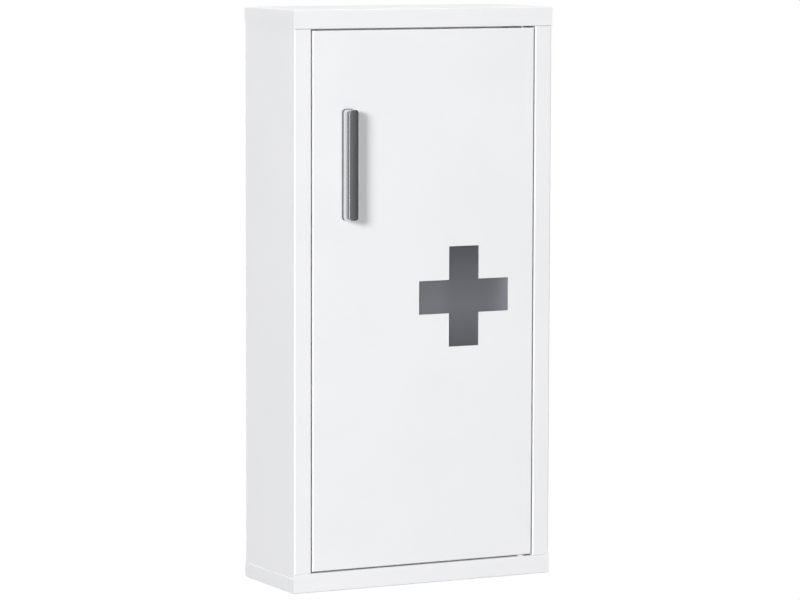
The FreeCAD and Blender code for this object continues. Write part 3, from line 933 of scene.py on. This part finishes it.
@dataclass
class Handle(Part):
    """Bar pull: a metal bar with bulging flanks and a flat face, on a foot coloured dark as painted shade of the gap
    under the bar.
    """

    length: float = 114.4 * MM
    centre: tuple[float, float] = (-88.3 * MM, 141.0 * MM)
    face_width: float = 10.4 * MM
    flank_radius: float = 8.1 * MM
    flank_turns: tuple[float, float] = (-38.0, 50.0)
    foot_height: float = 2.48 * MM
    foot_inset: float = -0.5 * MM
    ridge_radius: float = 0.8 * MM
    crown: float = 0.25 * MM
    corner_radius: float = 3.4 * MM
    end_rounding: float = 0.6 * MM
    end_ledge: float = 0.4 * MM
    steps: int = 12

    @property
    def reach(self) -> float:
        """How far the face stands from the door."""
        low, high = (math.sin(math.radians(turn)) for turn in self.flank_turns)
        return self.foot_height + self.flank_radius * (high - low)

    def build(self) -> None:
        """Make the bar and its foot, and fasten them in place of the plain one."""
        bar = self.lofted("door_handle_bar", self.bar_outline, self.end_rounding, self.end_ledge)
        bar.visible_diffuse = False
        self.fit(bar, SatinMetal("satin_plating"), Body.DOOR, Slot.HANDLE, ["door_handle"])
        foot = self.lofted("door_handle_foot", self.foot_outline, 0.0, 0.0)
        # Painted shade: the foot's dark colour stands for the shaded gap under the bar.
        dark = Moulding("handle_foot_painted_shade", (0.13, 0.135, 0.14), (0.1, 0.105, 0.11), 0.5)
        self.fit(foot, dark, Body.DOOR, Slot.HANDLE)

    def bar_outline(self, inset: float, drop: float) -> list[tuple[float, float]]:
        """Half outline of the bar's section, from the foot to the middle of the face.

        Args:
            inset: How much narrower the flank is.
            drop: How much lower the face is.

        Returns:
            Sideways and outward distances.
        """
        low, high = self.flank_turns
        rise = self.reach - self.foot_height
        squeeze = (rise - drop) / rise
        shift = self.face_width / 2 - self.flank_radius * math.cos(math.radians(high)) - inset
        base = self.flank_radius * math.sin(math.radians(low))
        arc = corner_arc(self.flank_radius, 2 * self.steps, low, high)
        tight = self.flank_radius - self.ridge_radius
        turn = math.radians(high)
        pivot = (tight * math.cos(turn), tight * math.sin(turn))
        slope = math.degrees(math.atan(self.crown * 4 / self.face_width))
        ridge = corner_arc(self.ridge_radius, 6, high, 90.0 - slope)
        arc += [(pivot[0] + u, pivot[1] + v) for u, v in ridge[1:]]
        points = [(u + shift, self.foot_height + (v - base) * squeeze) for u, v in arc]
        edge, depth = points[-1]
        for step in range(1, self.steps + 1):
            across = edge * (1 - step / self.steps)
            points.append((across, depth + self.crown * (1 - (across / edge) ** 2)))
        return points

    def foot_outline(self, inset: float, _drop: float) -> list[tuple[float, float]]:
        """Half outline of the foot's section.

        Args:
            inset: How much narrower the flank is.

        Returns:
            Sideways and outward distances.
        """
        low, high = (math.cos(math.radians(turn)) for turn in self.flank_turns)
        half = self.face_width / 2 + self.flank_radius * (low - high) - self.foot_inset - inset
        return [(half, 0.0), (half, self.foot_height), (0.0, self.foot_height)]

    def lofted(
        self,
        name: str,
        outline: Callable[[float, float], list[tuple[float, float]]],
        rounding: float,
        ledge: float,
    ) -> bpy.types.Object:
        """Loft a section from end to end.

        Args:
            name: Name of the piece.
            outline: Gives the half section for an inset and a drop.
            rounding: Radius at which the face rounds off to the ends.
            ledge: How far the piece stops short of the handle's ends.

        Returns:
            The piece.
        """
        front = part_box("door_handle")[1][1]
        middle, height = self.centre
        rings = []
        length = self.length - 2 * ledge
        for rise, inset, drop in self.levels(length, rounding):
            half = outline(inset, drop)
            full = half + [(-u, v) for u, v in reversed(half[:-1])]
            level = height - length / 2 + rise
            rings.append([Vector((middle + u, front - v, level)) for u, v in full])
        return Draft().ring_stack(rings).piece(name)

    def levels(self, length: float, rounding: float) -> list[tuple[float, float, float]]:
        """Heights of the section's rings, with how much narrower and flatter each is.

        Args:
            length: Length of the piece.
            rounding: Radius at which the face rounds off to the ends.

        Returns:
            Height, inset of each flank and drop of the face.
        """
        rows = []
        for step in range(self.steps + 1):
            turn = math.radians(90.0 * step / self.steps)
            depth = self.corner_radius * (1 - math.cos(turn))
            inset = self.corner_radius * (1 - math.sin(turn))
            left = max(0.0, rounding - depth)
            drop = rounding - math.sqrt(rounding**2 - left**2)
            rows.append((depth, inset, drop))
        return rows + [(length - depth, inset, drop) for depth, inset, drop in reversed(rows)]


    def screws(self) -> None:
        """Put the two screws through the door."""
        low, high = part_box("handle_screws")
        head_radius = (high[0] - low[0]) / 2
        head_height = 2.4 * MM
        length = high[1] - low[1] - head_height
        screw = PanScrew(head_radius, head_height, 2.0 * MM, length, 0.7 * MM).draft()
        pair = Draft()
        for level in (low[2] + head_radius, high[2] - head_radius):
            seat = Vector((low[0] + head_radius, high[1] - head_height, level))
            spin = Matrix.Rotation(level * 40.0, 4, "Z")
            pair.grown(screw, facing(seat, 1.0) @ spin)
        piece = pair.piece("handle_pan_screws")
        self.fit(piece, ZincPlate("handle_screw_zinc"), Body.DOOR, Slot.STEEL, ["handle_screws"])


@dataclass
class Catch(Part):
    """Magnetic catch with its screws, and the bumpers that the door closes on."""

    ear_length: float = 7.5 * MM
    ear_thickness: float = 3.0 * MM
    wall: float = 2.1 * MM
    pocket_depth: float = 8.1 * MM
    screw_hole: float = 1.55 * MM
    edge: float = 0.4 * MM

    def build(self) -> None:
        """Make the moulded housing, the screws and the bumpers."""
        self.housing()
        self.screws()
        self.bumpers()

    def housing(self) -> None:
        """Mould the housing with soft edges, in place of the plain one."""
        low, high = (Vector(corner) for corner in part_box("catch_housing"))
        ear = Vector((0.0, 0.0, self.ear_length))
        body = slab(low + ear, high - ear).piece("catch_housing_moulded")
        ears = slab((low[0], high[1] - self.ear_thickness, low[2]), high).piece("catch_ears")
        carved(body, ears, union=True)
        wall = Vector((self.wall, 0.0, self.wall - 0.2 * MM))
        pocket_low = low + ear + wall - Vector((0.0, 1.0 * MM, 0.0))
        pocket_high = Vector((high[0], low[1] + self.pocket_depth, high[2])) - ear - wall
        carved(body, slab(pocket_low, pocket_high).piece("catch_pocket"))
        soft = body.modifiers.new("soft_edges", "BEVEL")
        soft.width = self.edge
        soft.segments = 3
        soft.limit_method = "ANGLE"
        for level in (low[2] + self.ear_length / 2, high[2] - self.ear_length / 2):
            drill = lathe([(self.screw_hole, -5.0 * MM), (self.screw_hole, 5.0 * MM)], 32)
            place = Vector(((low[0] + high[0]) / 2, high[1], level))
            carved(body, Draft().grown(drill, facing(place, -1.0)).piece("catch_drill"))
        moulding = Moulding("catch_moulding", (0.8, 0.8, 0.785), (0.76, 0.76, 0.74), 0.36)
        self.fit(body, moulding, Body.CABINET, Slot.CATCH, ["catch_housing"])

    def screws(self) -> None:
        """Put a screw through each ear."""
        low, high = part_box("catch_screws")
        head_radius = (high[0] - low[0]) / 2
        head_height = 1.8 * MM
        length = high[1] - low[1] - head_height
        screw = PanScrew(head_radius, head_height, 1.5 * MM, length, 0.5 * MM).draft()
        pair = Draft()
        for level in (low[2] + head_radius, high[2] - head_radius):
            seat = Vector((low[0] + head_radius, low[1] + head_height, level))
            spin = Matrix.Rotation(level * 90.0, 4, "Z")
            pair.grown(screw, facing(seat, -1.0) @ spin)
        piece = pair.piece("catch_pan_screws")
        self.fit(piece, ZincPlate("catch_screw_zinc"), Body.CABINET, Slot.STEEL, ["catch_screws"])

    def bumpers(self) -> None:
        """Stick a soft domed bumper at each corner of the frame."""
        low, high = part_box("door_bumpers")
        radius = 3.0 * MM
        thickness = high[1] - low[1]
        profile = [(radius * 0.97, 0.0), (radius, 0.1 * thickness)]
        profile += [
            (radius * (0.4 + 0.6 * u), thickness * (0.35 + 0.65 * v))
            for u, v in corner_arc(1.0, 10, 0.0, 90.0)
        ]
        dome = lathe(profile)
        group = Draft()
        for across in (low[0] + radius, high[0] - radius):
            for level in (low[2] + radius, high[2] - radius):
                group.grown(dome, facing(Vector((across, high[1], level)), -1.0))
        rubber = Moulding("bumper_rubber", (0.66, 0.67, 0.68), (0.6, 0.61, 0.62), 0.55)
        piece = group.piece("door_bumper_domes")
        self.fit(piece, rubber, Body.CABINET, Slot.RUBBER, ["door_bumpers"])


@dataclass
class Studio:
    """Camera, lamps, floor and world."""

    eye: Point = (-1.8645, -3.7251, 0.4154)
    yaw: float = 26.991
    pitch: float = 5.876
    roll: float = 0.153
    focal_pixels: float = 3930.6
    picture_width: float = 800.0
    sensor: float = 36.0
    floor_height: float = -0.9
    ambient: float = 0.03

    def build(self) -> None:
        """Set up the studio."""
        self.camera()
        self.lamp("key_softbox", (-0.8, -0.54, 0.27), 8.0, 2.17, 0.93)
        self.lamp("front_softbox", (-0.06, -0.99, 0.03), 8.0, 2.1, 0.42)
        self.lamp("overhead_softbox", (0.0, 0.12, 0.99), 6.0, 2.6, 0.62)
        self.lamp("back_softbox", (0.68, 0.68, 0.27), 6.0, 2.4, 0.7)
        self.floor()
        self.world()
        bpy.context.scene.view_settings.view_transform = "Standard"

    def camera(self) -> None:
        """Place the camera where the photograph was taken from."""
        yaw = math.radians(self.yaw)
        pitch = math.radians(self.pitch)
        roll = math.radians(self.roll)
        ahead = Vector((math.sin(yaw) * math.cos(pitch), math.cos(yaw) * math.cos(pitch), -math.sin(pitch)))
        level = Vector((math.cos(yaw), -math.sin(yaw), 0.0))
        above = level.cross(ahead)
        right = level * math.cos(roll) + above * math.sin(roll)
        up = above * math.cos(roll) - level * math.sin(roll)
        turn = Matrix((right, up, -ahead)).transposed().to_4x4()
        lens = bpy.data.cameras.new("photo_camera")
        lens.sensor_fit = "HORIZONTAL"
        lens.sensor_width = self.sensor
        lens.lens = self.focal_pixels * self.sensor / self.picture_width
        lens.clip_start = 0.05
        lens.clip_end = 100.0
        holder = bpy.data.objects.new("photo_camera", lens)
        holder.matrix_world = Matrix.Translation(self.eye) @ turn
        bpy.context.scene.collection.objects.link(holder)
        bpy.context.scene.camera = holder

    def lamp(self, name: str, towards: Point, distance: float, size: float, level: float) -> None:
        """Add a square softbox that faces the cabinet.

        Args:
            name: The lamp's name.
            towards: Direction from the cabinet to the lamp.
            distance: How far away it stands.
            size: Side of the square.
            level: Brightness it gives a white face turned to it, where 1 is white.
        """
        light = bpy.data.lights.new(name, "AREA")
        light.shape = "SQUARE"
        light.size = size
        light.energy = level * math.pi**2 * distance**2
        holder = bpy.data.objects.new(name, light)
        direction = Vector(towards).normalized()
        place = Vector((0.0, -0.12, 0.0)) + direction * distance
        holder.matrix_world = Matrix.Translation(place) @ direction.to_track_quat("Z", "Y").to_matrix().to_4x4()
        holder.visible_camera = False
        holder.visible_glossy = False
        bpy.context.scene.collection.objects.link(holder)

    def floor(self) -> None:
        """Lay the pale floor: it keeps the shadow, fades to white and is clear from below."""
        half = 12.0
        z = self.floor_height
        sheet = Draft(
            [Vector((-half, -half, z)), Vector((half, -half, z)), Vector((half, half, z)), Vector((-half, half, z))],
            [(0, 1, 2, 3)],
        ).piece("studio_floor")
        made = bpy.data.materials.new("floor_paper")
        made.use_nodes = True
        graph = Graph(made.node_tree)
        paper = graph.node("ShaderNodeBsdfDiffuse", inputs={"Color": (0.28, 0.28, 0.28, 1.0)})
        glow = graph.node("ShaderNodeEmission", inputs={"Color": (1.0, 1.0, 1.0, 1.0), "Strength": 1.0})
        across, deep, _ = graph.axes()
        away = (across * across + deep * deep) ** 0.5
        seen = graph.node("ShaderNodeLightPath", output="Is Camera Ray") * away.rise(0.6, 2.4, 0.7, 1.0)
        mixed = graph.node("ShaderNodeMixShader", inputs={0: seen, 1: paper, 2: glow})
        below = graph.node("ShaderNodeNewGeometry", output="Backfacing")
        clear = graph.node("ShaderNodeBsdfTransparent")
        open_below = graph.node("ShaderNodeMixShader", inputs={0: below, 1: mixed, 2: clear})
        graph.node("ShaderNodeOutputMaterial", inputs={"Surface": open_below})
        sheet.data.materials.append(made)
        sheet.visible_glossy = False
        sheet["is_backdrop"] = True

    def world(self) -> None:
        """White backdrop for the camera, a darker room in front for reflections, soft fill."""
        world = bpy.data.worlds.new("studio")
        world.use_nodes = True
        bpy.context.scene.world = world
        graph = Graph(world.node_tree)
        path = graph.node("ShaderNodeLightPath", output="Is Camera Ray").socket.node
        seen = Operand(graph, path.outputs["Is Camera Ray"])
        mirrored = Operand(graph, path.outputs["Is Glossy Ray"])
        through = Operand(graph, path.outputs["Is Transmission Ray"])
        direction = graph.node("ShaderNodeTexCoord", output="Generated")
        across, deep, _ = graph.axes(direction)
        dark = across.rise(0.2, 0.75, 0.2, 0.07)
        strip = abs(deep.math("DIVIDE", across) - 1.66).rise(0.5, 0.9, 2.3, 0.0) * across.rise(-0.1, 0.0, 1.0, 0.0)
        edge = deep.rise(-0.5, 0.0, 0.0, 0.25)
        room = (dark + strip + edge).math("MAXIMUM", deep.rise(0.3, 0.7, 0.0, 0.75))
        backdrop = seen.math("MAXIMUM", room)
        level = self.ambient + seen.math("MAXIMUM", mirrored.math("MAXIMUM", through)) * (
            backdrop - self.ambient
        )
        sky = graph.node("ShaderNodeBackground", inputs={"Color": (1.0, 1.0, 1.0, 1.0), "Strength": level})
        graph.node("ShaderNodeOutputWorld", inputs={"Surface": sky})


def corners() -> list[list[float]]:
    """Lowest and highest corner of everything now shown, as plain numbers."""
    return [[float(value) for value in corner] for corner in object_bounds()]


def main() -> None:
    """Build the cabinet's looks and the studio round it."""
    logging.basicConfig(level=logging.INFO, format="%(name)s: %(message)s")
    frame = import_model()
    steel = ZincPlate("zinc_plate")
    Casing(frame).dress()
    Shelves(frame).dress()
    Door(frame).dress()
    handle = Handle(frame)
    handle.build()
    handle.screws()
    Catch(frame).build()
    hardware = Part(frame)
    hardware.paint(steel, "upper_hinge_pin", "lower_hinge_pin", "hinge_pin_clips", "catch_pole_plates")
    hardware.paint(Moulding("nylon", translucency=0.15), "upper_hinge_bush", "lower_hinge_bush")
    hardware.paint(Ferrite("ferrite"), "catch_magnet")
    Studio().build()


if __name__ == "__main__":
    main()
